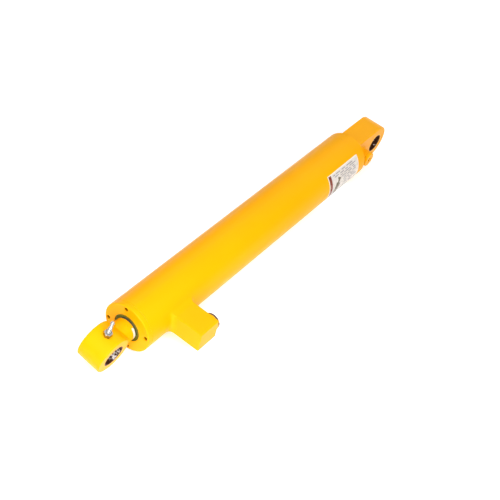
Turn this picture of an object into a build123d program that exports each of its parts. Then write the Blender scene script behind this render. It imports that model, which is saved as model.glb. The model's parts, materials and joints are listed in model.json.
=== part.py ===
from build123d import *
import math
import os

# Double-acting hydraulic cylinder with pin eyes, drawn fully retracted.
# Millimetres. +X runs along the rod out of the barrel, both pins lie across it
# near Y, and +Z is up. The origin is the centre of the base-end pin bore.

# ---------------------------------------------------------------- driving sizes

# whole cylinder
stroke = 460.0
barrel_bore_d = 75.0
barrel_wall = 7.5
rod_d = 40.0

# pin eyes
pin_d = 35.0
bush_wall = 4.0
bush_edge = 0.8               # chamfer at each mouth of a bush
base_eye_width = 45.0
base_eye_wall = 14.5          # round the bush
base_pin_to_barrel = 77.0
rod_eye_width = 45.0
rod_eye_wall = 11.5
rod_eye_turn = -8.5           # degrees about +X, as the rod happens to stand
eye_edge = 1.8                # rounding along the edges of both eyes
neck_l = 41.0                 # rod's welded end to the rod-eye pin
neck_step = 0.4               # neck below the rod, radial
neck_blend = 7.0              # fillet between neck and ring of the rod eye
neck_standoff = 12.5          # gland face to the rod's welded end, retracted

# base cap
base_cap_t = 20.0
cap_spigot_l = 10.0
groove_weld = 4.0             # leg of every V-groove weld

# gland, screwed into the rod end of the barrel
gland_flange_t = 9.5
gland_thread_step = 2.5       # thread outside the bore, radial
gland_thread_l = 24.0
gland_land_l = 17.0           # length that seals in the bore
gland_tail_relief = 7.5       # tail inside the bore, radial
gland_tail_l = 22.0
rim_edge = 1.0
joint_edge = 0.7              # chamfers that show as the line between barrel and gland
spanner_hole_d = 7.5
spanner_hole_depth = 7.0
spanner_rim = 6.7             # hole centres in from the rim
spanner_holes = 4
spanner_start = 10.2          # degrees from +Y towards +Z
wiper_section = 5.0           # radial sections of the rings round the rod
wiper_l = 5.5
wiper_recess = 0.8
wiper_corner = 0.6            # chamfer at its outer front edge
wiper_rim_t = 1.8             # outer rim, radial, in front
wiper_valley_in = 2.4         # valley's bottom in from the outside, radial
wiper_valley_depth = 1.6
wiper_lip_t = 0.5             # scraping lip, radial
wiper_lip_l = 1.4
wiper_heel = 1.6              # heel standing off the rod behind the lip
rod_seal_section = 5.0
rod_seal_l = 8.0
buffer_section = 5.5
buffer_l = 5.5
buffer_edge = 0.8
guide_section = 2.5
guide_l = 15.0
guide_edge = 0.3
seal_land = 3.5               # metal left between two neighbouring grooves
gland_o_ring_l = 4.2
gland_o_ring_depth = 3.4
gland_o_ring_edge = 1.5
backup_l = 1.4
backup_edge = 0.2
tail_slot_w = 10.0            # oil slots across the tail's end
tail_slot_depth = 6.0

# piston, on the turned-down end of the rod
piston_l = 55.0
rod_shoulder = 5.0            # step down to the piston's seat, radial
spigot_edge = 1.5             # chamfer at the rod's inner end
piston_clearance = 0.4        # radial, to the bore
piston_seal_l = 8.0
piston_seal_depth = 6.5
piston_seal_edge = 0.5
energizer_inset = 1.0         # rubber ring in from each end of the seal
energizer_edge = 1.6
seal_lip_t = 2.4              # radial thickness of the sliding seal ring
wear_ring_l = 12.0
wear_ring_depth = 2.5
wear_ring_inset = 5.0
wear_ring_edge = 0.3
piston_o_ring_l = 3.4
piston_o_ring_depth = 2.4
piston_o_ring_edge = 0.9
nut_wall = 8.0                # rod end to the nut's flats
nut_t = 18.0
nut_edge = 2.0                # chamfer on the nut's corners
nut_stub = 2.0                # rod end standing out of the nut
end_gap = 2.0                 # left between nut and base cap when retracted

# ports
oil_way_d = 10.0
port_bore_d = 18.6
port_depth = 16.0
port_boss_d = 30.0
block_l = 45.0
block_h = 39.0
block_stand = 55.5            # barrel surface to the block's outer face
block_edge = 1.5
block_weld = 10.0
gland_to_block = 59.0         # gland face to the block's near face
block_way_inset = 9.0         # block's near face to its cross drilling
rod_port_in = 16.0            # block's outer face to the port's axis
rod_boss_l = 4.5
rod_boss_spigot_d = 25.0
rod_boss_spigot_l = 5.0
cap_flange_d = 29.0
cap_flange_t = 3.5
cap_shank_l = 11.0
cap_edge = 0.8                # rounding of its flange
cap_wall_t = 2.5              # shank's wall, from the port's bore inwards
cap_floor_t = 2.0
base_port_inset = 23.0        # barrel's end face to the base port's axis
base_boss_l = 15.0
base_plug_d = 29.0
base_plug_t = 4.5
base_plug_shank_l = 10.0
bonded_seal_t = 1.5
hex_socket_af = 10.0
hex_socket_depth = 6.0
fillet_weld = 4.0
eye_weld = 5.0
eye_weld_rim = 1.5            # narrowest weld, where the eye's corners near the cap's rim

# grease nipple, a 45 degree elbow with a hexagon foot
nipple_hex_af = 12.0
nipple_hex_h = 8.0
nipple_crown_edge = 0.8
nipple_thread_d = 8.0
nipple_thread_l = 6.0
nipple_neck_d = 7.0
nipple_head_d = 6.6
nipple_waist_d = 4.9
nipple_reach = 18.0           # elbow to the tip of the head
nipple_way_d = 3.0
nipple_ball_d = 2.4
nipple_mouth_l = 1.5          # lip at the tip that holds the ball in
nipple_tilt = 45.0
nipple_turn = 22.0            # degrees from the barrel's side towards -Y, as screwed home
spot_face_d = 17.0
spot_face_drop = 1.0          # below the crown of the ring

# label
label_x = 24.0                # barrel's end face to the label
label_l = 102.0
label_t = 0.3
label_low = -60.0             # degrees from +Y towards +Z
label_high = 47.0

# clearances
seat_gap = 0.1                # radial, screwed, pushed or laid in place
ring_gap = 0.3                # round a soft ring in its groove
slide_gap = 0.3               # radial, sealing rings to the rod and to the bore
guide_gap = 0.08              # radial, rod guide to the rod
ball_gap = 0.05               # nipple's ball under its lip

# how far a cutter runs past the face it opens, and past a round wall
past_face = 1.0
past_wall = 5.0
spot_cutter_l = 10.0

# ---------------------------------------------------------------- derived places

barrel_r = barrel_bore_d / 2 + barrel_wall
bore_r = barrel_bore_d / 2
rod_r = rod_d / 2
pin_r = pin_d / 2
bush_r = pin_r + bush_wall
base_eye_r = bush_r + base_eye_wall
base_eye_limit = barrel_r - rim_edge - eye_weld_rim
rod_eye_r = bush_r + rod_eye_wall
neck_r = rod_r - neck_step
spigot_r = rod_r - rod_shoulder
nut_af = 2 * (spigot_r + nut_wall)
wiper_r = rod_r + wiper_section
rod_seal_r = rod_r + rod_seal_section
buffer_r = rod_r + buffer_section
guide_r = rod_r + guide_section
thread_r = bore_r + gland_thread_step
tail_r = bore_r - gland_tail_relief
spanner_r = barrel_r - spanner_rim

cap_x = base_pin_to_barrel + base_cap_t          # where barrel tube and base cap meet
cap_inner_x = cap_x + cap_spigot_l
rod_end_x = cap_inner_x + end_gap
nut_x = rod_end_x + nut_stub
piston_x = nut_x + nut_t
piston_end_x = piston_x + piston_l

tail_x = piston_end_x + stroke + end_gap         # inner end of the gland
land_x = tail_x + gland_tail_l
thread_x = land_x + gland_land_l
flange_x = thread_x + gland_thread_l
gland_face_x = flange_x + gland_flange_t
rod_weld_x = gland_face_x + neck_standoff
closed_length = rod_weld_x + neck_l              # pin to pin

block_x1 = gland_face_x - gland_to_block
block_x0 = block_x1 - block_l
block_way_x = block_x1 - block_way_inset
block_reach = barrel_r + block_stand
rod_port_y = block_reach - rod_port_in
base_port_x = base_pin_to_barrel - base_port_inset
base_face_y = base_eye_width / 2
label_x0 = base_pin_to_barrel + label_x

rod_place = Rot(X=rod_eye_turn)                  # the rod turns in its seals

# ---------------------------------------------------------------- shared shapes


def turned(points):
    """A solid turned about X from an outline of (x, radius) points."""
    outline = make_face(Polyline(*[(x, 0, r) for x, r in points], close=True))
    return revolve(outline, Axis.X, 360)


def ring(x0, x1, r_in, r_out, edge=0.0):
    """A washer-like ring along X with its four edges rounded."""
    outline = Plane.XZ * Pos((x0 + x1) / 2, (r_in + r_out) / 2) * Rectangle(x1 - x0, r_out - r_in)
    if edge > 0:
        outline = fillet(outline.vertices(), min(edge, 0.45 * min(x1 - x0, r_out - r_in)))
    return revolve(outline, Axis.X, 360)


def rod_along_x(x0, x1, r):
    return Pos((x0 + x1) / 2, 0, 0) * Rot(Y=90) * Cylinder(r, x1 - x0)


def rod_along_y(x, y0, y1, r):
    return Pos(x, (y0 + y1) / 2, 0) * Rot(X=90) * Cylinder(r, y1 - y0)


def box_between(x0, x1, y0, y1, z0, z1):
    return Pos((x0 + x1) / 2, (y0 + y1) / 2, (z0 + z1) / 2) * Box(x1 - x0, y1 - y0, z1 - z0)


def groove_weld_ring(x, r):
    """The weld that fills a V groove and is dressed flush with radius r."""
    return turned([(x - groove_weld, r), (x + groove_weld, r), (x, r - groove_weld)])


def lip_ring(x0, x1, r_in, r_out):
    """A U-shaped seal, its two lips and the valley between them towards low X."""
    length = x1 - x0
    depth = r_out - r_in
    mid = (r_in + r_out) / 2
    points = [(0, r_in + 0.06 * depth), (0, r_out - 0.06 * depth), (0.85 * length, r_out),
              (length, r_out - 0.15 * depth), (0.55 * length, mid + 0.1 * depth),
              (0.55 * length, mid - 0.1 * depth), (length, r_in + 0.15 * depth),
              (0.85 * length, r_in)]
    return turned([(x1 - along, r) for along, r in points])


def bush(width):
    """A steel bush pressed into an eye, centred on the origin along Y."""
    half = width / 2
    sleeve = rod_along_y(0, -half, half, bush_r) - rod_along_y(0, -half, half, pin_r)
    mouths = sleeve.edges().filter_by(GeomType.CIRCLE).filter_by(lambda e: e.radius < pin_r + 0.01)
    return chamfer(mouths, bush_edge)


def save(shape, node):
    export_step(shape, f"parts/{node}.step")


# ---------------------------------------------------------------- barrel weldment


def barrel_tube():
    tube = ring(cap_x, flange_x, bore_r, barrel_r)
    tube = tube - rod_along_x(thread_x, flange_x, thread_r)
    tube = tube - rod_along_y(block_way_x, bore_r - past_wall, barrel_r + past_wall, oil_way_d / 2)
    tube = tube - groove_weld_ring(cap_x, barrel_r)
    rim = turned([(flange_x - joint_edge, barrel_r), (flange_x, barrel_r - joint_edge),
                  (flange_x, barrel_r + past_face), (flange_x - joint_edge, barrel_r + past_face)])
    return tube - rim


def oil_way_base():
    """Drilling from the base port across the eye and up into the barrel."""
    along = rod_along_x(base_port_x, cap_inner_x + past_face, oil_way_d / 2)
    across = rod_along_y(base_port_x, 0, base_face_y + past_face, oil_way_d / 2)
    return along + across + Pos(base_port_x, 0, 0) * Sphere(oil_way_d / 2)


def base_cap():
    disc = rod_along_x(base_pin_to_barrel, cap_x, barrel_r)
    disc = chamfer(disc.edges().group_by(Axis.X)[0], rim_edge)
    spigot = rod_along_x(cap_x, cap_inner_x, bore_r - seat_gap)
    cap = disc + chamfer(spigot.edges().group_by(Axis.X)[-1], rim_edge)
    return cap - groove_weld_ring(cap_x, barrel_r) - oil_way_base()


def base_eye():
    half = base_eye_width / 2
    block = box_between(0, base_pin_to_barrel, -half, half, -base_eye_r, base_eye_r)
    eye = block + rod_along_y(0, -half, half, base_eye_r)
    outline = eye.edges().filter_by(lambda e: abs(abs(e.center().Y) - half) < 0.01)
    outline = outline.filter_by(lambda e: e.center().X < base_pin_to_barrel - 1)
    eye = fillet(outline, eye_edge)
    eye = eye & rod_along_x(-base_eye_r, base_pin_to_barrel, base_eye_limit)
    return eye - rod_along_y(0, -half, half, bush_r) - oil_way_base()


def base_eye_weld():
    """Fillet weld all round the eye on the face of the base cap, kept inside its edge."""
    half = base_eye_width / 2
    foot = Plane.YZ.offset(base_pin_to_barrel) * Rectangle(2 * (half + eye_weld),
                                                           2 * (base_eye_r + eye_weld))
    top = Plane.YZ.offset(base_pin_to_barrel - eye_weld) * Rectangle(2 * half, 2 * base_eye_r)
    bead = loft([foot, top])
    bead = bead & rod_along_x(base_pin_to_barrel - eye_weld, base_pin_to_barrel, barrel_r - rim_edge)
    block = box_between(0, base_pin_to_barrel, -half, half, -base_eye_r, base_eye_r)
    return bead - (block & rod_along_x(0, base_pin_to_barrel, base_eye_limit))


def base_port_boss():
    y1 = base_face_y + base_boss_l
    boss = rod_along_y(base_port_x, base_face_y, y1, port_boss_d / 2)
    boss = chamfer(boss.edges().group_by(Axis.Y)[-1], rim_edge)
    boss = boss - rod_along_y(base_port_x, base_face_y, y1, oil_way_d / 2)
    return boss - rod_along_y(base_port_x, y1 - base_plug_shank_l - past_face, y1, port_bore_d / 2)


def base_port_boss_weld():
    low = port_boss_d / 2
    cone = Cone(low + fillet_weld, low, fillet_weld)
    bead = Pos(base_port_x, base_face_y + fillet_weld / 2, 0) * Rot(X=-90) * cone
    bead = bead - rod_along_y(base_port_x, base_face_y - past_face, base_face_y + base_boss_l, low)
    return bead - base_eye_weld()


def base_port_seal():
    y0 = base_face_y + base_boss_l
    washer = rod_along_y(base_port_x, y0, y0 + bonded_seal_t, base_plug_d / 2)
    return washer - rod_along_y(base_port_x, y0, y0 + bonded_seal_t, port_bore_d / 2)


def base_port_plug():
    y0 = base_face_y + base_boss_l + bonded_seal_t
    head = rod_along_y(base_port_x, y0, y0 + base_plug_t, base_plug_d / 2)
    head = chamfer(head.edges().group_by(Axis.Y)[-1], rim_edge)
    shank_y = base_face_y + base_boss_l - base_plug_shank_l
    shank = rod_along_y(base_port_x, shank_y, y0, port_bore_d / 2 - seat_gap)
    socket_plane = Plane(origin=(base_port_x, y0 + base_plug_t, 0), x_dir=(1, 0, 0), z_dir=(0, 1, 0))
    socket = extrude(socket_plane * RegularPolygon(hex_socket_af / 2, 6, major_radius=False),
                     -hex_socket_depth)
    return head + shank - socket


def rod_port_block():
    block = box_between(block_x0, block_x1, 0, block_reach, -block_h / 2, block_h / 2)
    outer = block.edges().filter_by(lambda e: e.center().Y > 1)
    block = fillet(outer, block_edge)
    block = block - rod_along_x(block_x0 - past_face, block_x1 + past_face, barrel_r)
    up = rod_along_y(block_way_x, 0, rod_port_y, oil_way_d / 2)
    across = rod_along_x(block_x0 + port_depth, block_way_x, oil_way_d / 2)
    mouth = rod_along_x(block_x0 - past_face, block_x0 + port_depth, port_bore_d / 2)
    seat = rod_along_x(block_x0 - past_face, block_x0 + rod_boss_spigot_l, rod_boss_spigot_d / 2)
    corner = Pos(block_way_x, rod_port_y, 0) * Sphere(oil_way_d / 2)
    return block - up - corner - Pos(0, rod_port_y, 0) * (across + mouth + seat)


def rod_port_block_weld():
    """Weld round the foot of the port block, wide at the barrel and narrowing up the block."""
    top_y = barrel_r + block_weld
    foot_y = math.sqrt(barrel_r ** 2 - (block_h / 2 + block_weld) ** 2)
    rise = top_y - foot_y
    mid_x = (block_x0 + block_x1) / 2
    foot_plane = Plane(origin=(mid_x, foot_y, 0), x_dir=(1, 0, 0), z_dir=(0, 1, 0))
    foot = foot_plane * Rectangle(block_l + 2 * block_weld, block_h + 2 * block_weld)
    top = foot_plane.offset(rise) * Rectangle(block_l, block_h)
    bead = loft([foot, top])
    bead = bead - rod_along_x(block_x0 - 2 * block_weld, block_x1 + 2 * block_weld, barrel_r)
    return bead - box_between(block_x0, block_x1, 0, block_reach, -block_h / 2, block_h / 2)


def rod_port_boss():
    x0 = block_x0 - rod_boss_l
    x1 = block_x0 + rod_boss_spigot_l
    collar = rod_along_x(x0, block_x0, port_boss_d / 2)
    collar = fillet(collar.edges().group_by(Axis.X)[0], rim_edge)
    boss = collar + rod_along_x(block_x0, x1, rod_boss_spigot_d / 2 - seat_gap)
    return Pos(0, rod_port_y, 0) * (boss - rod_along_x(x0, x1, port_bore_d / 2))


def rod_port_plug():
    """Plastic shipping plug pushed into the rod-end port."""
    mouth = block_x0 - rod_boss_l
    flange = rod_along_x(mouth - cap_flange_t, mouth, cap_flange_d / 2)
    flange = fillet(flange.edges().group_by(Axis.X)[0], cap_edge)
    shank = rod_along_x(mouth, mouth + cap_shank_l, port_bore_d / 2 - seat_gap)
    hollow = rod_along_x(mouth - cap_flange_t, mouth + cap_shank_l - cap_floor_t,
                         port_bore_d / 2 - cap_wall_t)
    return Pos(0, rod_port_y, 0) * (flange + shank - hollow)


def label_plate():
    """Thin curved plate on the barrel, open on the side away from the port block."""
    shell = ring(label_x0, label_x0 + label_l, barrel_r, barrel_r + label_t)
    far = 2 * barrel_r
    low, high = math.radians(label_low), math.radians(label_high)
    middle = (low + high) / 2
    fan = [(0, 0), (far * math.cos(low), far * math.sin(low)),
           (far * math.cos(middle), far * math.sin(middle)),
           (far * math.cos(high), far * math.sin(high))]
    wedge_plane = Plane(origin=(label_x0, 0, 0), x_dir=(0, 1, 0), z_dir=(1, 0, 0))
    wedge = extrude(wedge_plane * make_face(Polyline(*fan, close=True)), label_l)
    return shell & wedge


# ---------------------------------------------------------------- gland and its rings

wiper_x1 = gland_face_x - wiper_recess
wiper_x0 = wiper_x1 - wiper_l
rod_seal_x1 = wiper_x0 - ring_gap - seal_land
rod_seal_x0 = rod_seal_x1 - rod_seal_l
buffer_x1 = rod_seal_x0 - seal_land
buffer_x0 = buffer_x1 - buffer_l
guide_x1 = buffer_x0 - seal_land
guide_x0 = guide_x1 - guide_l
gland_o_ring_x0 = land_x + seal_land
backup_x0 = gland_o_ring_x0 + gland_o_ring_l + ring_gap


def groove(x0, x1, r_in, r_out):
    """Groove for a ring of that length, with side clearance."""
    return ring(x0 - ring_gap, x1 + ring_gap, r_in, r_out)


def gland():
    land_r = bore_r - seat_gap
    body = turned([(tail_x, 0), (tail_x, tail_r), (land_x, tail_r),
                   (land_x, land_r), (thread_x, land_r), (thread_x, thread_r - seat_gap),
                   (flange_x, thread_r - seat_gap), (flange_x, barrel_r - joint_edge),
                   (flange_x + joint_edge, barrel_r), (gland_face_x - rim_edge, barrel_r),
                   (gland_face_x, barrel_r - rim_edge), (gland_face_x, 0)])
    body = body - rod_along_x(tail_x, gland_face_x, rod_r + 2 * slide_gap)
    body = body - ring(wiper_x0 - ring_gap, gland_face_x, rod_r, wiper_r + seat_gap)
    body = body - groove(rod_seal_x0, rod_seal_x1, rod_r, rod_seal_r + ring_gap)
    body = body - groove(buffer_x0, buffer_x1, rod_r, buffer_r + ring_gap)
    body = body - groove(guide_x0, guide_x1, rod_r, guide_r + seat_gap)
    o_groove_r = bore_r - gland_o_ring_depth
    body = body - groove(gland_o_ring_x0, backup_x0 + backup_l, o_groove_r, bore_r + past_face)
    for index in range(spanner_holes):
        turn = spanner_start + index * 360 / spanner_holes
        hole = rod_along_x(gland_face_x - spanner_hole_depth, gland_face_x + past_face, spanner_hole_d / 2)
        body = body - Rot(X=turn) * Pos(0, spanner_r, 0) * hole
    slot = box_between(tail_x - past_face, tail_x + tail_slot_depth, -2 * tail_r, 2 * tail_r,
                       -tail_slot_w / 2, tail_slot_w / 2)
    return body - slot - Rot(X=90) * slot


def wiper():
    r_in = rod_r + slide_gap
    return turned([(wiper_x0, r_in + wiper_heel), (wiper_x0, wiper_r), (wiper_x1 - wiper_corner, wiper_r),
                   (wiper_x1, wiper_r - wiper_corner), (wiper_x1, wiper_r - wiper_rim_t),
                   (wiper_x1 - wiper_valley_depth, wiper_r - wiper_valley_in),
                   (wiper_x1, r_in + wiper_lip_t), (wiper_x1, r_in), (wiper_x1 - wiper_lip_l, r_in)])


def gland_rings():
    o_groove_r = bore_r - gland_o_ring_depth
    return {
        "rod_seal": lip_ring(rod_seal_x0, rod_seal_x1, rod_r + slide_gap, rod_seal_r),
        "rod_buffer_seal": ring(buffer_x0, buffer_x1, rod_r + slide_gap, buffer_r, buffer_edge),
        "rod_guide_ring": ring(guide_x0, guide_x1, rod_r + guide_gap, guide_r, guide_edge),
        "gland_o_ring": ring(gland_o_ring_x0, gland_o_ring_x0 + gland_o_ring_l,
                             o_groove_r + seat_gap, bore_r - seat_gap, gland_o_ring_edge),
        "gland_backup_ring": ring(backup_x0, backup_x0 + backup_l,
                                  o_groove_r + seat_gap, bore_r - seat_gap, backup_edge),
    }


# ---------------------------------------------------------------- rod, piston and nut

seal_x0 = piston_x + (piston_l - piston_seal_l) / 2
piston_r = bore_r - piston_clearance
energizer_r = bore_r - slide_gap - seal_lip_t
wear_ring_x = [piston_x + wear_ring_inset,
               piston_end_x - wear_ring_inset - wear_ring_l]
rod_groove_r = spigot_r - piston_o_ring_depth
rod_groove_x = piston_end_x - 2 * wear_ring_inset - piston_o_ring_l


def rod():
    bar = turned([(rod_end_x, 0), (rod_end_x, spigot_r - spigot_edge), (rod_end_x + spigot_edge, spigot_r),
                  (piston_end_x, spigot_r), (piston_end_x, rod_r),
                  (rod_weld_x - groove_weld, rod_r), (rod_weld_x - groove_weld, neck_r),
                  (rod_weld_x, neck_r - groove_weld), (rod_weld_x, 0)])
    return bar - groove(rod_groove_x, rod_groove_x + piston_o_ring_l, rod_groove_r, spigot_r + past_face)


def piston():
    body = ring(piston_x, piston_end_x, spigot_r + seat_gap, piston_r)
    rims = body.edges().filter_by(GeomType.CIRCLE).filter_by(lambda e: e.radius > piston_r - 0.01)
    body = chamfer(rims, rim_edge)
    body = body - groove(seal_x0, seal_x0 + piston_seal_l, bore_r - piston_seal_depth, bore_r)
    for x in wear_ring_x:
        body = body - groove(x, x + wear_ring_l, bore_r - wear_ring_depth - seat_gap - slide_gap, bore_r)
    return body


def piston_nut():
    hexagon = Plane.YZ.offset(nut_x) * RegularPolygon(nut_af / 2, 6, major_radius=False)
    nut = extrude(hexagon, nut_t)
    tip_r = nut_af / math.sqrt(3)
    nut = nut & turned([(nut_x, 0), (nut_x, tip_r - nut_edge), (nut_x + nut_edge, tip_r),
                        (nut_x + nut_t - nut_edge, tip_r), (nut_x + nut_t, tip_r - nut_edge),
                        (nut_x + nut_t, 0)])
    return nut - rod_along_x(nut_x, nut_x + nut_t, spigot_r + seat_gap)


def piston_rings():
    return {
        "piston_seal": ring(seal_x0, seal_x0 + piston_seal_l, energizer_r, bore_r - slide_gap,
                            piston_seal_edge),
        "piston_energizer": ring(seal_x0 + energizer_inset, seal_x0 + piston_seal_l - energizer_inset,
                                 bore_r - piston_seal_depth + ring_gap, energizer_r - seat_gap,
                                 energizer_edge),
        "piston_wear_rings": Compound(children=[
            ring(x, x + wear_ring_l, bore_r - slide_gap - wear_ring_depth + seat_gap,
                 bore_r - slide_gap, wear_ring_edge) for x in wear_ring_x]),
    }


# ---------------------------------------------------------------- rod eye and nipple

eye_centre = Pos(closed_length, 0, 0)
spot_z = rod_eye_r - spot_face_drop
elbow_z = spot_z + nipple_hex_h
nipple_elbow = Pos(0, 0, elbow_z) * Rot(Z=nipple_turn) * Rot(Y=-nipple_tilt)
nipple_mouth_r = 0.35 * nipple_ball_d


def rod_eye():
    half = rod_eye_width / 2
    ring_body = rod_along_y(0, -half, half, rod_eye_r)
    ring_body = fillet(ring_body.edges().filter_by(GeomType.CIRCLE), eye_edge)
    neck = rod_along_x(rod_weld_x - closed_length, 0, neck_r)
    eye = ring_body + neck
    joint = eye.edges().filter_by(lambda e: neck_r / 2 < abs(e.center().Z) or e.geom_type not in
                                  (GeomType.CIRCLE, GeomType.LINE))
    joint = joint.filter_by(lambda e: -rod_eye_r - 3 < e.center().X < -bush_r)
    joint = joint.filter_by(lambda e: abs(e.center().Y) < neck_r)
    eye = fillet(joint, neck_blend)
    eye = eye - groove_weld_ring(rod_weld_x - closed_length, neck_r)
    eye = eye - rod_along_y(0, -half, half, bush_r)
    spot = Pos(0, 0, spot_z + spot_cutter_l / 2) * Cylinder(spot_face_d / 2, spot_cutter_l)
    tapped = Pos(0, 0, spot_z - nipple_thread_l / 2) * Cylinder(nipple_thread_d / 2, nipple_thread_l)
    way = Pos(0, 0, spot_z / 2) * Cylinder(nipple_way_d / 2, spot_z)
    return eye_centre * (eye - spot - tapped - way)


def rod_eye_bush():
    way = Pos(0, 0, spot_z / 2) * Cylinder(nipple_way_d / 2, spot_z)
    return eye_centre * (bush(rod_eye_width) - way)


def nipple_body():
    foot = extrude(Plane.XY.offset(spot_z) * RegularPolygon(nipple_hex_af / 2, 6, major_radius=False),
                   nipple_hex_h)
    tip_r = nipple_hex_af / math.sqrt(3)
    crown = Pos(0, 0, spot_z + nipple_hex_h / 2) * Cylinder(tip_r, nipple_hex_h)
    foot = foot & chamfer(crown.edges().group_by(Axis.Z)[-1], nipple_crown_edge)
    thread = Pos(0, 0, spot_z - nipple_thread_l / 2) * Cylinder(nipple_thread_d / 2 - seat_gap,
                                                                nipple_thread_l)
    r_neck, r_waist, r_head = nipple_neck_d / 2, nipple_waist_d / 2, nipple_head_d / 2
    reach = nipple_reach
    profile = [(0, 0), (r_neck, 0), (r_neck, 0.35 * reach), (r_waist, 0.55 * reach),
               (r_waist, 0.68 * reach), (r_head, 0.78 * reach), (r_head, 0.86 * reach),
               (0.55 * r_head, reach), (0, reach)]
    outline = make_face(Polyline(*[(r, 0, z) for r, z in profile], close=True))
    body = foot + thread + nipple_elbow * (Sphere(r_neck) + revolve(outline, Axis.Z, 360))
    way_r = nipple_way_d / 2
    foot_z = spot_z - nipple_thread_l
    down = Pos(0, 0, (foot_z + elbow_z) / 2) * Cylinder(way_r, elbow_z - foot_z)
    out = Pos(0, 0, reach / 2) * Cylinder(way_r, reach)
    mouth = Cylinder(way_r + seat_gap, nipple_mouth_l) - Cylinder(nipple_mouth_r, nipple_mouth_l)
    lip = Pos(0, 0, reach - nipple_mouth_l / 2) * mouth
    return eye_centre * (body - down - nipple_elbow * (out + Sphere(way_r)) + nipple_elbow * lip)


def nipple_ball():
    seat = nipple_reach - nipple_mouth_l - nipple_ball_d / 2 - ball_gap
    return eye_centre * nipple_elbow * Pos(0, 0, seat) * Sphere(nipple_ball_d / 2)


# ---------------------------------------------------------------- write every node

barrel_nodes = {
    "barrel_tube": barrel_tube(),
    "base_cap": base_cap(),
    "base_cap_weld": groove_weld_ring(cap_x, barrel_r),
    "base_eye": base_eye(),
    "base_eye_weld": base_eye_weld(),
    "base_eye_bush": bush(base_eye_width),
    "base_port_boss": base_port_boss(),
    "base_port_boss_weld": base_port_boss_weld(),
    "base_port_seal": base_port_seal(),
    "base_port_plug": base_port_plug(),
    "rod_port_block": rod_port_block(),
    "rod_port_block_weld": rod_port_block_weld(),
    "rod_port_boss": rod_port_boss(),
    "rod_port_plug": rod_port_plug(),
    "label_plate": label_plate(),
    "gland": gland(),
    "wiper": wiper(),
}
rod_nodes = {
    "rod": rod(),
    "piston": piston(),
    "piston_nut": piston_nut(),
    "piston_o_ring": ring(rod_groove_x, rod_groove_x + piston_o_ring_l, rod_groove_r + seat_gap,
                          spigot_r - seat_gap, piston_o_ring_edge),
    "rod_eye": rod_eye(),
    "rod_eye_weld": groove_weld_ring(rod_weld_x, neck_r),
    "rod_eye_bush": rod_eye_bush(),
    "grease_nipple": nipple_body(),
    "grease_nipple_ball": nipple_ball(),
}

os.makedirs("parts", exist_ok=True)
for node, shape in {**barrel_nodes, **gland_rings(), **piston_rings()}.items():
    save(shape, node)
for node, shape in rod_nodes.items():
    save(rod_place * shape, node)
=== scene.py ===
import json
import math

import bmesh
import bpy
from mathutils import Matrix, Vector, noise


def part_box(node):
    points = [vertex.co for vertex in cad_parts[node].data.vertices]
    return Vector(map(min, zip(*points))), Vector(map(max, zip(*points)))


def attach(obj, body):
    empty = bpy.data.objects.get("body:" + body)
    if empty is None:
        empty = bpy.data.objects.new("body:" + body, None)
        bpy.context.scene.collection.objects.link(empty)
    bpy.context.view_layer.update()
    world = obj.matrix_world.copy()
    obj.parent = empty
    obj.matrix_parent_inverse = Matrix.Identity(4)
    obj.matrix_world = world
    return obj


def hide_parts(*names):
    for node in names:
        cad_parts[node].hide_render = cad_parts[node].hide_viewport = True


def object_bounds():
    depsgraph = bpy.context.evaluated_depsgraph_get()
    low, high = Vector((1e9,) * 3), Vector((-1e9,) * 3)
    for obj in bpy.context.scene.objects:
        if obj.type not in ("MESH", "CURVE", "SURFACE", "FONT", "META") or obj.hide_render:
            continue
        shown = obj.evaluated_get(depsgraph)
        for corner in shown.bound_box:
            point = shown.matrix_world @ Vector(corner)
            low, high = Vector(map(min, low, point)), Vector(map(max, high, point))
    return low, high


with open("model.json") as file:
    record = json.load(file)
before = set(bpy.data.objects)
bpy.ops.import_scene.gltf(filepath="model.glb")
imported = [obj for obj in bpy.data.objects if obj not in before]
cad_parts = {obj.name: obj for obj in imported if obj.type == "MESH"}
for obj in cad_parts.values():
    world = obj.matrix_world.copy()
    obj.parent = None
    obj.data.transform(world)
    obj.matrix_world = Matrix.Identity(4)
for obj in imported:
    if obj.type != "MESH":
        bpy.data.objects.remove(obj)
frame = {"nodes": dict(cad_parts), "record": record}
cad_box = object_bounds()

# Metres, in the CAD frame: +X along the rod, +Y along the base pin, +Z up,
# origin at the centre of the base-end pin bore.

MM = 0.001
MIDDLE = (0.45, 0.0, 0.0)     # near the middle of the cylinder's axis, for lamps and floor
mounts = {m["name"]: m for m in frame["record"]["mounts"]}
barrel_low, barrel_high = [Vector(corner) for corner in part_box("barrel_tube")]
barrel_r = (barrel_high.z - barrel_low.z) / 2
block_low, block_high = [Vector(corner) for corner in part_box("rod_port_block")]
eye_low, eye_high = [Vector(corner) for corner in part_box("base_eye")]
gland_high = Vector(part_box("gland")[1])
label_low, label_high = [Vector(corner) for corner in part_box("label_plate")]


def facing(aim, azimuth, elevation, distance):
    """The placing of a camera or lamp that faces an aim point, from angles in degrees."""
    az, el = math.radians(azimuth), math.radians(elevation)
    back = Vector((math.cos(el) * math.cos(az), math.cos(el) * math.sin(az), math.sin(el)))
    turn = back.to_track_quat("Z", "Y").to_matrix().to_4x4()
    return Matrix.Translation(Vector(aim) + back * distance) @ turn


# ---------------------------------------------------------------- camera

CAMERA_AIM = (0.4345, 0.0308, 0.0)
CAMERA_DISTANCE = 1.7316
CAMERA_AZIMUTH = 25.66        # degrees from +X towards +Y
CAMERA_ELEVATION = 44.44
CAMERA_ROLL = 16.2
CAMERA_LENS = 72.0            # focal length and sensor's width, in mm
CAMERA_SENSOR = 36.0


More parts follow.
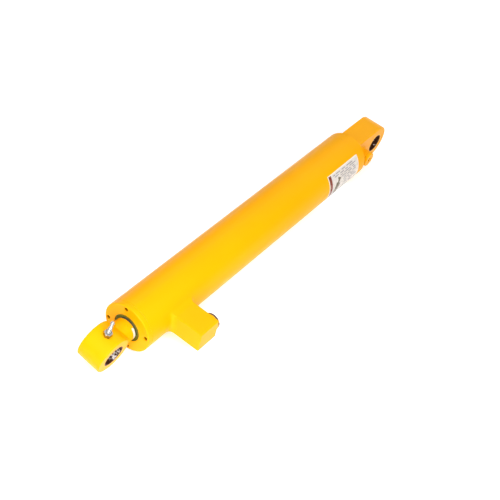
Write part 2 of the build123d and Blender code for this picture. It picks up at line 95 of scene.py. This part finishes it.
def add_camera():
    data = bpy.data.cameras.new("camera")
    data.lens = CAMERA_LENS
    data.sensor_width = CAMERA_SENSOR
    camera = bpy.data.objects.new("camera", data)
    bpy.context.scene.collection.objects.link(camera)
    roll = Matrix.Rotation(math.radians(CAMERA_ROLL), 4, "Z")
    place = facing(CAMERA_AIM, CAMERA_AZIMUTH, CAMERA_ELEVATION, CAMERA_DISTANCE)
    camera.matrix_world = place @ roll
    bpy.context.scene.camera = camera


# ---------------------------------------------------------------- shader helper

BLACK = (0.0, 0.0, 0.0)
WHITE = (1.0, 1.0, 1.0)
NOISE_LOW, NOISE_HIGH = 0.3, 0.7            # most of a noise's values lie between these
MIX_A, MIX_B, MIX_RESULT = 6, 7, 2          # colour sockets of a Mix node, by place
CREVICE_SAMPLES = 8


class Shader:
    """A node material under construction, with short calls for the nodes used here."""

    def __init__(self, name):
        self.material = bpy.data.materials.new(name)
        self.material.use_nodes = True
        self.tree = self.material.node_tree
        self.bsdf = self.tree.nodes["Principled BSDF"]
        coordinates = self.node("ShaderNodeTexCoord")
        self.place = coordinates.outputs["Object"]
        self.normal = coordinates.outputs["Normal"]

    def node(self, kind, **values):
        made = self.tree.nodes.new(kind)
        for key, value in values.items():
            setattr(made, key, value)
        return made

    def link(self, source, target):
        self.tree.links.new(source, target)

    def put(self, value, socket):
        """Links a socket's output, or sets a plain number, colour or vector."""
        if isinstance(value, bpy.types.NodeSocket):
            self.link(value, socket)
        elif value is not None:
            socket.default_value = value

    def set(self, **sockets):
        for key, value in sockets.items():
            self.put(value, self.bsdf.inputs[key.replace("_", " ")])

    def stretched(self, scale):
        """The object's coordinates scaled by axis, for grain that runs one way."""
        mapping = self.node("ShaderNodeMapping")
        mapping.inputs["Scale"].default_value = scale
        self.link(self.place, mapping.inputs["Vector"])
        return mapping.outputs["Vector"]

    def noise(self, scale, detail=3.0, roughness=0.5, vector=None):
        made = self.node("ShaderNodeTexNoise")
        made.inputs["Scale"].default_value = scale
        made.inputs["Detail"].default_value = detail
        made.inputs["Roughness"].default_value = roughness
        self.link(vector or self.place, made.inputs["Vector"])
        return made.outputs["Fac"]

    def ramp(self, value, stops):
        """Turns a number into a colour by a list of (place, colour)."""
        made = self.node("ShaderNodeValToRGB")
        elements = made.color_ramp.elements
        while len(elements) < len(stops):
            elements.new(0.5)
        for element, (place, colour) in zip(elements, stops):
            element.position = place
            element.color = (*colour, 1.0)
        self.link(value, made.inputs["Fac"])
        return made.outputs["Color"]

    def clouds(self, value, low, high):
        """Runs from one colour to another over most of a noise's values."""
        return self.ramp(value, [(NOISE_LOW, low), (NOISE_HIGH, high)])

    def span(self, value, low, high):
        """Maps most of a noise's values to low..high."""
        made = self.node("ShaderNodeMapRange")
        made.inputs["From Min"].default_value = NOISE_LOW
        made.inputs["From Max"].default_value = NOISE_HIGH
        made.inputs["To Min"].default_value = low
        made.inputs["To Max"].default_value = high
        self.link(value, made.inputs["Value"])
        return made.outputs["Result"]

    def math(self, operation, a, b=None):
        made = self.node("ShaderNodeMath", operation=operation)
        for socket, value in zip(made.inputs, (a, b)):
            self.put(value, socket)
        return made.outputs["Value"]

    def vector_math(self, operation, a, b=None, result="Vector"):
        made = self.node("ShaderNodeVectorMath", operation=operation)
        for socket, value in zip(made.inputs, (a, b)):
            self.put(value, socket)
        return made.outputs[result]

    def axes(self, vector):
        """The X, Y and Z of a vector, each as a number."""
        split = self.node("ShaderNodeSeparateXYZ")
        self.link(vector, split.inputs["Vector"])
        return [split.outputs[axis] for axis in "XYZ"]

    def mix(self, factor, a, b):
        """Colour a where factor is 0 and b where it is 1."""
        made = self.node("ShaderNodeMix", data_type="RGBA")
        self.put(factor, made.inputs["Factor"])
        for value, socket in ((a, made.inputs[MIX_A]), (b, made.inputs[MIX_B])):
            self.put((*value, 1.0) if isinstance(value, tuple) else value, socket)
        return made.outputs[MIX_RESULT]

    def crevice(self, reach, deepest, clear):
        """1 deep in corners and holes, 0 in the open, judged from what lies within reach."""
        made = self.node("ShaderNodeAmbientOcclusion", samples=CREVICE_SAMPLES)
        made.inputs["Distance"].default_value = reach
        return self.ramp(made.outputs["AO"], [(deepest, WHITE), (clear, BLACK)])

    def bump(self, height, distance, strength=1.0, below=None):
        made = self.node("ShaderNodeBump")
        made.inputs["Strength"].default_value = strength
        made.inputs["Distance"].default_value = distance
        self.link(height, made.inputs["Height"])
        if below is not None:
            self.link(below, made.inputs["Normal"])
        return made.outputs["Normal"]


# ---------------------------------------------------------------- painted pieces

ENAMEL_DEEP, ENAMEL_PALE = (0.93, 0.395, 0.0004), (0.97, 0.425, 0.001)
ENAMEL_SPECK, SPECK_SHARE = (0.70, 0.24, 0.004), (0.10, 0.10, 0.10)
# painted shade: a darker enamel for corners and creases and a near-black one deep in holes, each with
# how far it looks round
CORNER_PAINTED_SHADE, CORNER_REACH = (0.42, 0.115, 0.004), 5.0 * MM
HOLE_PAINTED_SHADE, HOLE_REACH = (0.020, 0.006, 0.001), 22.0 * MM


def paint_material(name, roughness, peel_strength):
    """Satin yellow enamel: faint clouds and specks, orange peel, and painted shade darkening its corners
    and holes.
    """
    s = Shader(name)
    base = s.clouds(s.noise(7.0, 4.0), ENAMEL_DEEP, ENAMEL_PALE)
    speck = s.ramp(s.noise(380.0, 2.0), [(0.66, BLACK), (0.80, SPECK_SHARE)])
    colour = s.mix(speck, base, ENAMEL_SPECK)
    # painted shade: darker enamel in corners and creases, then near black deep in holes
    colour = s.mix(s.crevice(CORNER_REACH, 0.15, 0.50), colour, CORNER_PAINTED_SHADE)
    colour = s.mix(s.crevice(HOLE_REACH, 0.20, 0.36), colour, HOLE_PAINTED_SHADE)
    peel = s.bump(s.noise(900.0, 2.0), 0.12 * MM, peel_strength)
    wave = s.bump(s.noise(80.0, 2.0), 0.5 * MM, 0.10, peel)
    s.set(Base_Color=colour, Roughness=s.span(s.noise(30.0, 5.0), roughness, roughness + 0.10))
    s.set(Normal=wave, Specular_IOR_Level=0.06)
    return s.material


# ---------------------------------------------------------------- steel and chrome

# how the coordinates are scaled for tool marks that run round each axis
ROUND_AXIS = {"X": (1.0, 0.02, 0.02), "Y": (0.02, 1.0, 0.02), "Z": (0.02, 0.02, 1.0)}
STAIN_SHADE, MARK_SHADE = 0.62, 1.25        # of a steel's own colour
CORNER_SHADE_REACH = 4.0 * MM

CHROME_DARK, CHROME_PALE, CHROME_RING = (0.36, 0.37, 0.38), (0.47, 0.48, 0.49), (0.26, 0.26, 0.27)
WIPED_ALONG = (0.35, 1.0, 1.0)
# yellow overspray on the rod, and a pale patch on it that is a painted highlight
OVERSPRAY, PAINTED_HIGHLIGHT = (0.95, 0.43, 0.002), (0.80, 0.77, 0.66)
OVERSPRAY_X = gland_high.x + 3.0 * MM       # where the paint begins on the rod
HIGHLIGHT_END_X = gland_high.x + 6.0 * MM          # how far out the painted highlight patch reaches
HIGHLIGHT_FROM_Y = 14.5 * MM                        # and where it starts, to the rod's +Y side
CHROME_METAL, PAINT_METAL = 0.9, 0.1

BORE_GREASE, BORE_HIGHLIGHT, BORE_MARK = (0.050, 0.016, 0.008), (0.93, 0.86, 0.81), (0.16, 0.10, 0.07)
OILED_DARK, OILED_PALE, BUSH_PAINT = (0.045, 0.016, 0.008), (0.11, 0.055, 0.03), (0.93, 0.40, 0.001)
BUSH_GRAIN = (1.0, 0.04, 1.0)
PAINT_RAGGED = 1.2 * MM                     # how much the edge of the paint on a bush wanders
END_FACE_NORMAL = 0.6                       # a normal further along the pin is an end face's
WEAR_AND_HIGHLIGHT_SOFTNESS = 0.10
BORE_METAL = 0.20


def steel_material(name, colour, rough, grain_scale, grain_axis="X", stain=None, corner_shade=None):
    """Turned or ground bare steel with tool marks round one axis, with painted shade darkening its
    corners when a colour for it is given.
    """
    s = Shader(name)
    marks = s.noise(grain_scale, 3.0, 0.6, s.stretched(ROUND_AXIS[grain_axis]))
    film = s.noise(25.0, 4.0, 0.6)
    dark = stain or tuple(STAIN_SHADE * c for c in colour)
    tone = s.ramp(film, [(0.3, dark), (0.62, colour)])
    tone = s.mix(s.span(marks, 0.0, 0.35), tone, tuple(min(1.0, MARK_SHADE * c) for c in colour))
    # painted shade: the steel darkened in its corners
    if corner_shade:
        tone = s.mix(s.crevice(CORNER_SHADE_REACH, 0.30, 0.85), tone, corner_shade)
    s.set(Base_Color=tone, Metallic=1.0, Roughness=s.span(marks, rough, rough + 0.14))
    s.set(Normal=s.bump(marks, 0.05 * MM, 0.4))
    return s.material


def chrome_material():
    """Ground hard chrome with faint rings and wipe marks. Beyond the gland it is painted over, apart
    from a pale patch on its +Y side that is a painted highlight."""
    s = Shader("hard_chrome")
    x, y, _ = s.axes(s.place)
    rings = s.noise(420.0, 2.0, 0.5, s.stretched(ROUND_AXIS["X"]))
    film = s.noise(30.0, 3.0, 0.5, s.stretched(WIPED_ALONG))
    tone = s.mix(s.span(rings, 0.0, 0.22), s.clouds(film, CHROME_DARK, CHROME_PALE), CHROME_RING)
    edge = s.math("MULTIPLY", s.noise(160.0, 2.0), 0.9 * MM)
    outside = s.math("GREATER_THAN", s.math("ADD", x, edge), OVERSPRAY_X)
    # painted highlight: a pale patch near the gland on the rod's +Y side, set in place of the overspray
    side = s.math("ADD", y, s.math("MULTIPLY", s.noise(90.0, 2.0), 3.0 * MM))
    side = s.math("GREATER_THAN", side, HIGHLIGHT_FROM_Y)
    near = s.math("LESS_THAN", s.math("SUBTRACT", x, edge), HIGHLIGHT_END_X)
    overspray_and_highlight = s.mix(s.math("MULTIPLY", side, near), OVERSPRAY, PAINTED_HIGHLIGHT)
    lost = s.math("MULTIPLY", outside, CHROME_METAL - PAINT_METAL)
    s.set(Base_Color=s.mix(outside, tone, overspray_and_highlight), Specular_IOR_Level=0.2)
    s.set(Metallic=s.math("SUBTRACT", CHROME_METAL, lost))
    s.set(Roughness=s.span(film, 0.12, 0.22), Normal=s.bump(rings, 0.02 * MM, 0.2))
    return s.material


def bush_material(name, pin, greased, painted_from):
    """Hardened bush round a pin: a ground bore, dark with grease, painted near white on its side facing
    +X and +Z as a painted highlight and partly as wear where the pin bears, and oiled end faces that the
    paint covers beyond a radius."""
    s = Shader(name)
    offset = s.vector_math("SUBTRACT", s.place, pin["pos_m"])
    radius = s.vector_math("LENGTH", s.vector_math("CROSS_PRODUCT", offset, pin["axis"]), result="Value")
    ragged = s.math("MULTIPLY", s.math("SUBTRACT", s.noise(260.0, 2.0), 0.5), PAINT_RAGGED)
    beyond = s.math("GREATER_THAN", s.math("ADD", radius, ragged), painted_from)
    x, y, z = s.axes(s.normal)
    end_face = s.math("GREATER_THAN", s.math("ABSOLUTE", y), END_FACE_NORMAL)
    marks = s.noise(700.0, 3.0, 0.6, s.stretched(BUSH_GRAIN))
    # painted highlight: the bore's side facing +X and +Z, towards the lamps, is painted bright, partly
    # as wear where the pin bears
    lit_side = s.math("MULTIPLY", s.math("ADD", x, z), 0.36)
    wear_and_highlight = s.math("ADD", lit_side, s.math("MULTIPLY", s.noise(230.0, 2.0, 0.5), 0.8))
    wear_and_highlight = s.ramp(wear_and_highlight, [(greased, BLACK), (greased + WEAR_AND_HIGHLIGHT_SOFTNESS, WHITE)])
    bore = s.mix(s.span(marks, 0.0, 0.18), s.mix(wear_and_highlight, BORE_GREASE, BORE_HIGHLIGHT), BORE_MARK)
    face = s.ramp(s.noise(180.0, 4.0, 0.6), [(0.35, OILED_DARK), (0.7, OILED_PALE)])
    face = s.mix(beyond, face, BUSH_PAINT)
    bare = s.math("SUBTRACT", 1.0, end_face)
    s.set(Base_Color=s.mix(end_face, bore, face), Metallic=s.math("MULTIPLY", bare, BORE_METAL))
    s.set(Roughness=s.span(marks, 0.26, 0.42), Normal=s.bump(marks, 0.04 * MM, 0.4))
    s.set(Specular_IOR_Level=0.10)
    return s.material


# ---------------------------------------------------------------- rubber and plastic


def rubber_material(name, colour, rough=0.45, shine=0.5):
    """Moulded rubber or plastic with a fine grain."""
    s = Shader(name)
    grain = s.noise(800.0, 3.0)
    light = tuple(min(1.0, 1.35 * c + 0.01) for c in colour)
    s.set(Base_Color=s.ramp(s.noise(40.0, 3.0), [(0.35, colour), (0.7, light)]))
    s.set(Roughness=s.span(grain, rough, rough + 0.15), Normal=s.bump(grain, 0.08 * MM, 0.35))
    s.set(Specular_IOR_Level=shine)
    return s.material


# ---------------------------------------------------------------- label

LABEL_TOP_ANGLE = math.radians(47.0)        # of its top edge, above +Y
LABEL_BORDER = 1.6 * MM
LABEL_BAND = 10.0 * MM                      # where the band at one end stops
LABEL_BELOW = -1.0                          # lower than the label reaches
BORDER_CREAM, BAR_GREY, RAM_BROWN = (0.88, 0.84, 0.72), (0.26, 0.23, 0.24), (0.14, 0.11, 0.055)
FOIL_DARK, FOIL_PALE = (0.66, 0.60, 0.54), (0.75, 0.69, 0.63)
BAND_DARK, BAND_PALE = (0.17, 0.030, 0.010), (0.27, 0.045, 0.018)
# rows of plain bars, mm: the first row's place below the top, the rows' pitch and their height,
# then the starts and ends of each row's bars along the label from its banded end
BAR_TOP, BAR_PITCH, BAR_HEIGHT = 5.0, 4.1, 1.6
LABEL_BARS = [
    [(16, 23), (26, 40), (46, 58), (63, 84)], [(20, 34), (38, 52), (57, 66), (72, 93)],
    [(38, 46), (51, 74), (79, 88)], [(41, 60), (65, 77), (82, 91)],
    [(48, 56), (60, 73), (80, 92)], [(48, 66), (71, 83)], [(50, 59), (64, 70), (75, 90)],
    [(48, 62), (68, 94)], [(48, 54), (59, 78)], [(48, 66), (71, 92)], [(48, 70), (76, 88)],
    [(48, 58), (63, 80)], [(48, 74), (80, 91)],
]
# drawing of a ram: its place in from the banded end and down from the top, its lean, and
# stretches along its own axis with their half widths, mm
RAM_IN, RAM_DOWN = 27.0 * MM, 31.0 * MM
RAM_LEAN = math.radians(62.0)
RAM_DRAWING = [(-18, -13, 4.4), (-15, 6, 6.4), (6, 14, 3.0), (13, 17, 4.4)]


def label_material():
    """Pale foil with a maroon band at one end, plain grey bars and a plain drawing of a ram."""
    s = Shader("label_foil")
    x, y, z = s.axes(s.place)
    up = s.math("MULTIPLY", s.math("ARCTAN2", z, y), barrel_r)
    along = s.math("SUBTRACT", label_high.x, x)
    length = label_high.x - label_low.x
    top = LABEL_TOP_ANGLE * barrel_r

    def inside(value, low, high):
        return s.math("MULTIPLY", s.math("GREATER_THAN", value, low), s.math("LESS_THAN", value, high))

    def patch(x0, x1, y0, y1, across=along, rising=up):
        return s.math("MULTIPLY", inside(across, x0, x1), inside(rising, y0, y1))

    def any_of(parts):
        total = parts[0]
        for part in parts[1:]:
            total = s.math("MAXIMUM", total, part)
        return total

    foil = s.clouds(s.noise(60.0, 3.0), FOIL_DARK, FOIL_PALE)
    field = patch(LABEL_BORDER, length - LABEL_BORDER, LABEL_BELOW, top - LABEL_BORDER)
    colour = s.mix(field, BORDER_CREAM, foil)
    band = patch(LABEL_BORDER, LABEL_BAND, LABEL_BELOW, top - LABEL_BORDER)
    colour = s.mix(band, colour, s.clouds(s.noise(90.0, 3.0), BAND_DARK, BAND_PALE))
    bars = []
    for row, ends in enumerate(LABEL_BARS):
        bar_top = top - (BAR_TOP + BAR_PITCH * row) * MM
        for start, end in ends:
            bars.append(patch(start * MM, end * MM, bar_top - BAR_HEIGHT * MM, bar_top))
    colour = s.mix(any_of(bars), colour, BAR_GREY)
    lean_x = s.math("SUBTRACT", along, RAM_IN)
    lean_y = s.math("SUBTRACT", up, top - RAM_DOWN)
    cosine, sine = math.cos(RAM_LEAN), math.sin(RAM_LEAN)
    ram_x = s.math("ADD", s.math("MULTIPLY", lean_x, cosine), s.math("MULTIPLY", lean_y, sine))
    ram_y = s.math("SUBTRACT", s.math("MULTIPLY", lean_y, cosine), s.math("MULTIPLY", lean_x, sine))
    ram = any_of([patch(start * MM, end * MM, -half * MM, half * MM, ram_x, ram_y)
                  for start, end, half in RAM_DRAWING])
    colour = s.mix(ram, colour, RAM_BROWN)
    s.set(Base_Color=colour, Roughness=s.span(s.noise(200.0), 0.22, 0.34), Specular_IOR_Level=0.3)
    s.set(Normal=s.bump(s.noise(90.0, 2.0), 0.2 * MM, 0.15))
    return s.material


# ---------------------------------------------------------------- the finish of every slot

# where the grease stops and the painted highlight begins, and from what radius paint covers the end
# faces, for each bush
ROD_BUSH = (0.83, 19.6 * MM)
BASE_BUSH = (0.99, 18.7 * MM)

FINISH = {
    "yellow_paint": paint_material("yellow_enamel", 0.30, 0.20),
    "weld_painted": paint_material("yellow_enamel_on_weld", 0.34, 0.35),
    "rod_chrome": chrome_material(),
    "bush_steel": bush_material("bush_steel", mounts["rod_pin_bore"], *ROD_BUSH),
    "steel": steel_material("turned_steel", (0.50, 0.49, 0.48), 0.25, 600.0),
    # the zinc's last colour is painted shade in its corners
    "zinc": steel_material("bright_zinc", (0.50, 0.50, 0.49), 0.16, 300.0, "Z",
                           (0.24, 0.24, 0.23), (0.05, 0.035, 0.02)),
    "green_seal": rubber_material("green_polyurethane", (0.135, 0.135, 0.006), 0.30, 0.10),
    "blue_seal": rubber_material("blue_polyurethane", (0.02, 0.07, 0.28), 0.30),
    "black_rubber": rubber_material("black_rubber", (0.012, 0.012, 0.012), 0.5),
    "ptfe_bronze": rubber_material("bronze_ptfe", (0.20, 0.11, 0.05), 0.4),
    "phenolic": rubber_material("phenolic", (0.20, 0.045, 0.02), 0.5),
    "black_plastic": rubber_material("black_plastic", (0.030, 0.020, 0.010), 0.34),
    "label_foil": label_material(),
}
# the base eye's bush: a shaded copy of the rod eye's, its higher edge leaving it nearly without the
# painted highlight
greased_shaded_bush = bush_material("bush_steel_greased_shaded", mounts["base_pin_bore"], *BASE_BUSH)


def dress_cad_nodes():
    """Gives each CAD piece the finish of its slot; the base eye's bush has a greased one, a darker copy
    with less painted highlight, as painted shade.
    """
    for part in frame["record"]["subparts"]:
        mesh = frame["nodes"][part["node"]].data
        mesh.materials.clear()
        mesh.materials.append(FINISH[part["material_slot"]])
    greased = frame["nodes"]["base_eye_bush"].data
    greased.materials.clear()
    greased.materials.append(greased_shaded_bush)


# ---------------------------------------------------------------- weld beads

CORNER_STEPS = 12             # straight pieces in a quarter turn
PATH_STEP = 1.3 * MM          # and their length along a straight side
BLOCK_CORNER = 1.5 * MM
EYE_CORNER = 1.0 * MM
SHARP_ANGLE = math.radians(60)
PROFILE_STEPS = 12
RIPPLE = 3.2 * MM             # from one ripple to the next, along the bead
RIPPLE_BOW = 0.6
RIB_HEIGHT, LUMP_HEIGHT = 0.10, 0.35        # mm
LUMPS_PER_METRE, LUMPS_ACROSS = 60, 2.0
BEAD_INSET = 0.8 * MM         # its hidden side, inside the piece it stands against
TOE_SINK = 0.05 * MM          # its toe, below the surface
TOP_GAP = 0.1 * MM            # its top, off the side face
BLOCK_FOOT_SINK, FOOT_SINK = 1.0 * MM, 0.4 * MM
SOFTENED = 0.55               # how far the corner of a small bead moves to its straight line
BLOCK_WANDER, EYE_WANDER = 0.05, 0.06       # share of a leg by which it strays
BLOCK_HAND, EYE_HAND = (45, 3.1), (50, 7.3)     # strays per metre, and a row of the noise
BLOCK_SEED, EYE_SEED, PORT_SEED = 0.37, 0.11, 0.23
BLOCK_REACH, BLOCK_RISE = 0.95, 0.92        # shares of its leg
BLOCK_FLAT = 0.06
EYE_LEAST_HEIGHT, EYE_HEIGHT_SHARE = 2.0 * MM, 0.6
RIM_MARGIN = 1.2 * MM         # between the eye's bead and the rim of the cap
PORT_STEPS = 120


def closed_sweep(name, sections):
    """A ring-shaped solid from closed cross-sections, one after another round a closed path."""
    count, size = len(sections), len(sections[0])
    verts = [point for section in sections for point in section]
    faces = []
    for a in range(count):
        b = (a + 1) % count
        for m in range(size):
            n = (m + 1) % size
            faces.append((a * size + m, b * size + m, b * size + n, a * size + n))
    mesh = bpy.data.meshes.new(name)
    mesh.from_pydata(verts, [], faces)
    shape = bmesh.new()
    shape.from_mesh(mesh)
    bmesh.ops.recalc_face_normals(shape, faces=shape.faces)
    shape.to_mesh(mesh)
    shape.free()
    mesh.shade_smooth()
    mesh.set_sharp_from_angle(angle=SHARP_ANGLE)
    bead = bpy.data.objects.new(name, mesh)
    bpy.context.scene.collection.objects.link(bead)
    mesh.materials.append(FINISH["weld_painted"])
    return bead


def rounded_rectangle(half_a, half_b, radius):
    """Points and outward directions round a rectangle with rounded corners, anticlockwise."""
    path = []
    for quarter in range(4):
        sign_a = 1 if quarter in (0, 3) else -1
        sign_b = 1 if quarter in (0, 1) else -1
        centre = Vector((sign_a * (half_a - radius), sign_b * (half_b - radius)))
        start = quarter * math.pi / 2
        for turn in range(CORNER_STEPS + 1):
            angle = start + turn * math.pi / (2 * CORNER_STEPS)
            out = Vector((math.cos(angle), math.sin(angle)))
            path.append((centre + radius * out, out))
        out = Vector((math.cos(start + math.pi / 2), math.sin(start + math.pi / 2)))
        length = 2 * ((half_a if quarter in (0, 2) else half_b) - radius)
        pieces = max(2, round(length / PATH_STEP))
        side_start = path[-1][0]
        along = Vector((-out.y, out.x))
        for part in range(1, pieces):
            path.append((side_start + along * (length * part / pieces), out))
    return path


def measured(path):
    """Each place and outward direction of a closed path, with the length of bead laid so far."""
    travel = 0.0
    last = path[-1][0]
    for place, out in path:
        travel += (place - last).length
        last = place
        yield place, out, travel


def bead_profile(toe, corner, top, travel, seed, flat=0.30):
    """A hollow fillet from toe to top, bowed towards corner, with ripples like a laid bead's.
    The more flat it is, up to 1, the nearer it lies to a straight line."""
    points = []
    away = ((toe + top) / 2 - corner).normalized()
    for step in range(PROFILE_STEPS + 1):
        t = step / PROFILE_STEPS
        point = toe * (1 - t) ** 2 + corner * (2 * t * (1 - t)) + top * t * t
        point = point.lerp(toe.lerp(top, t), flat)
        rib = math.sin(2 * math.pi * (travel / RIPPLE + RIPPLE_BOW * (t - 0.5) ** 2 + seed))
        lump = noise.noise(Vector((travel * LUMPS_PER_METRE, t * LUMPS_ACROSS, seed)))
        fade = math.sin(math.pi * t)
        points.append(point + away * fade * (RIB_HEIGHT * rib + LUMP_HEIGHT * lump) * MM)
    return points


def unsteady(travel, per_metre, row):
    """How far the welder's hand strays there, from about -1 to 1."""
    return noise.noise(Vector((travel * per_metre, row, 0.0)))


def on_barrel(x, z, lift=0.0):
    """The point of the barrel's +Y side at x and z, lifted towards +Y."""
    return Vector((x, math.sqrt(barrel_r ** 2 - z ** 2) + lift, z))


def weld_round_block():
    """Hollow fillet weld where the port block stands on the barrel."""
    weld_low = Vector(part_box("rod_port_block_weld")[0])
    leg = block_low.x - weld_low.x
    rise = BLOCK_RISE * leg
    middle = (block_low + block_high) / 2
    path = rounded_rectangle((block_high.x - block_low.x) / 2, (block_high.z - block_low.z) / 2,
                             BLOCK_CORNER)
    sections = []
    for place, out, travel in measured(path):
        stray = BLOCK_WANDER * unsteady(travel, *BLOCK_HAND)
        reach = leg * (BLOCK_REACH + stray)
        wide, side = place + out * reach, Vector((out.x, 0, out.y))
        toe = on_barrel(middle.x + wide.x, wide.y, -TOE_SINK)
        foot = on_barrel(middle.x + place.x, place.y)
        top = foot + side * TOP_GAP + Vector((0, rise * (1 + stray), 0))
        inward = side * BEAD_INSET
        sections.append(bead_profile(toe, foot, top, travel, BLOCK_SEED, BLOCK_FLAT)
                        + [top - inward, foot - inward - Vector((0, BLOCK_FOOT_SINK, 0))])
    bead = closed_sweep("rod_port_block_weld_bead", sections)
    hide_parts("rod_port_block_weld")
    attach(bead, "barrel")


def weld_round_base_eye():
    """Fillet weld round the base eye on the cap's face, pinched where the corners near its rim."""
    weld_low, weld_high = [Vector(corner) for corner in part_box("base_eye_weld")]
    face_x = weld_high.x
    leg = weld_high.x - weld_low.x
    limit = barrel_r - RIM_MARGIN
    path = rounded_rectangle((eye_high.y - eye_low.y) / 2, (eye_high.z - eye_low.z) / 2, EYE_CORNER)
    sections = []
    for place, out, travel in measured(path):
        to_rim = -place.dot(out) + math.sqrt(place.dot(out) ** 2 - place.length_squared + limit ** 2)
        reach = min(leg * (1 + EYE_WANDER * unsteady(travel, *EYE_HAND)), to_rim)
        height = min(leg, EYE_LEAST_HEIGHT + EYE_HEIGHT_SHARE * reach)
        wide, side = place + out * reach, Vector((0, out.x, out.y))
        toe = Vector((face_x + TOE_SINK, wide.x, wide.y))
        foot = Vector((face_x, place.x, place.y))
        top = foot - Vector((height, 0, 0)) + side * TOP_GAP
        corner = foot.lerp((toe + top) / 2, SOFTENED)
        inward = side * BEAD_INSET
        sections.append(bead_profile(toe, corner, top, travel, EYE_SEED)
                        + [top - inward, foot - inward + Vector((FOOT_SINK, 0, 0))])
    bead = closed_sweep("base_eye_weld_bead", sections)
    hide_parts("base_eye_weld")
    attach(bead, "barrel")


def weld_round_base_port():
    """Fillet weld round the foot of the base port boss."""
    weld_low, weld_high = [Vector(corner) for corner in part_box("base_port_boss_weld")]
    boss_low, boss_high = [Vector(corner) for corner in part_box("base_port_boss")]
    radius = (boss_high.z - boss_low.z) / 2
    centre = (boss_low + boss_high) / 2
    leg = weld_high.y - weld_low.y
    sections = []
    for step in range(PORT_STEPS):
        angle = step * 2 * math.pi / PORT_STEPS
        side = Vector((math.cos(angle), 0, math.sin(angle)))
        foot = Vector((centre.x, weld_low.y, centre.z)) + side * radius
        toe = foot + side * leg - Vector((0, TOE_SINK, 0))
        top = foot + Vector((0, leg, 0)) + side * TOP_GAP
        corner = foot.lerp((toe + top) / 2, SOFTENED)
        inward = side * BEAD_INSET
        sections.append(bead_profile(toe, corner, top, angle * radius, PORT_SEED)
                        + [top - inward, foot - inward - Vector((0, FOOT_SINK, 0))])
    bead = closed_sweep("base_port_boss_weld_bead", sections)
    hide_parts("base_port_boss_weld")
    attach(bead, "barrel")


# ---------------------------------------------------------------- stage and light

FLOOR_HALF = 12.0
FLOOR_DARK, FLOOR_PALE = (0.93, 0.93, 0.93), (0.94, 0.94, 0.94)
FLOOR_GLOW, FAR_GLOW = 0.36, 1.0
GLOW_FROM, GLOW_TO = 0.7, 1.7               # distances from the middle over which it rises

# name, aim, azimuth and elevation from the aim in degrees, distance, width, height, watts
LAMPS = [
    ("right_high", MIDDLE, 90, 56, 1.8, 1.3, 1.3, 12.8),
    ("front_right_high", MIDDLE, 60, 50, 1.8, 1.3, 1.3, 5.9),
    ("behind_low", MIDDLE, 180, 20, 1.8, 1.3, 1.3, 7.2),
    ("front_left_low", MIDDLE, 315, 20, 1.8, 1.3, 1.3, 1.3),
    ("rod_end_front", (0.76, 0.0, 0.0), 18, 35, 0.9, 0.6, 0.6, 7.0),
    ("rod_end_top", (0.72, 0.0, 0.0), 30, 70, 0.9, 0.6, 0.6, 2.9),
    ("rod_end_side", (0.62, 0.0, 0.0), 65, 42, 0.95, 0.7, 0.6, 2.6),
    ("sweep_left", (-0.1, -1.0, 0.0), 0, 90, 1.3, 1.8, 1.2, 10.3),
    ("sweep_behind", (-0.7, -0.6, 0.0), 0, 90, 1.3, 1.8, 1.8, 2.7),
]


def floor_material():
    """Pale studio floor that glows more towards the distance, where the lamps don't reach."""
    s = Shader("studio_floor")
    s.set(Base_Color=s.clouds(s.noise(1.2, 2.0), FLOOR_DARK, FLOOR_PALE))
    glow = s.node("ShaderNodeMapRange", interpolation_type="SMOOTHSTEP")
    ends = {"From Min": GLOW_FROM, "From Max": GLOW_TO, "To Min": FLOOR_GLOW, "To Max": FAR_GLOW}
    for key, value in ends.items():
        glow.inputs[key].default_value = value
    s.link(s.vector_math("DISTANCE", s.place, MIDDLE, "Value"), glow.inputs["Value"])
    s.set(Roughness=0.9, Specular_IOR_Level=0.1)
    s.set(Emission_Strength=glow.outputs["Result"], Emission_Color=(*WHITE, 1.0))
    return s.material


def add_floor():
    mesh = bpy.data.meshes.new("floor")
    z = cad_box[0][2]
    half = FLOOR_HALF
    corners = [(-half, -half, z), (half, -half, z), (half, half, z), (-half, half, z)]
    mesh.from_pydata(corners, [], [(0, 1, 2, 3)])
    floor = bpy.data.objects.new("floor", mesh)
    bpy.context.scene.collection.objects.link(floor)
    mesh.materials.append(floor_material())


def add_lamp(name, aim, azimuth, elevation, distance, width, height, watts):
    data = bpy.data.lights.new(name, "AREA")
    data.shape = "RECTANGLE"
    data.size, data.size_y = width, height
    data.energy = watts
    lamp = bpy.data.objects.new(name, data)
    lamp.visible_camera = False
    bpy.context.scene.collection.objects.link(lamp)
    lamp.matrix_world = facing(aim, azimuth, elevation, distance)


def add_light():
    """Soft lamps light the object; the white surround shows only to the eye and in reflections."""
    world = bpy.data.worlds.new("studio")
    world.use_nodes = True
    background = world.node_tree.nodes["Background"]
    background.inputs["Color"].default_value = (*WHITE, 1.0)
    background.inputs["Strength"].default_value = 1.0
    world.cycles_visibility.diffuse = False
    bpy.context.scene.world = world
    for lamp in LAMPS:
        add_lamp(*lamp)
    bpy.context.scene.view_settings.view_transform = "Standard"


# ---------------------------------------------------------------- assembly

add_camera()
dress_cad_nodes()
weld_round_block()
weld_round_base_eye()
weld_round_base_port()
add_floor()
add_light()
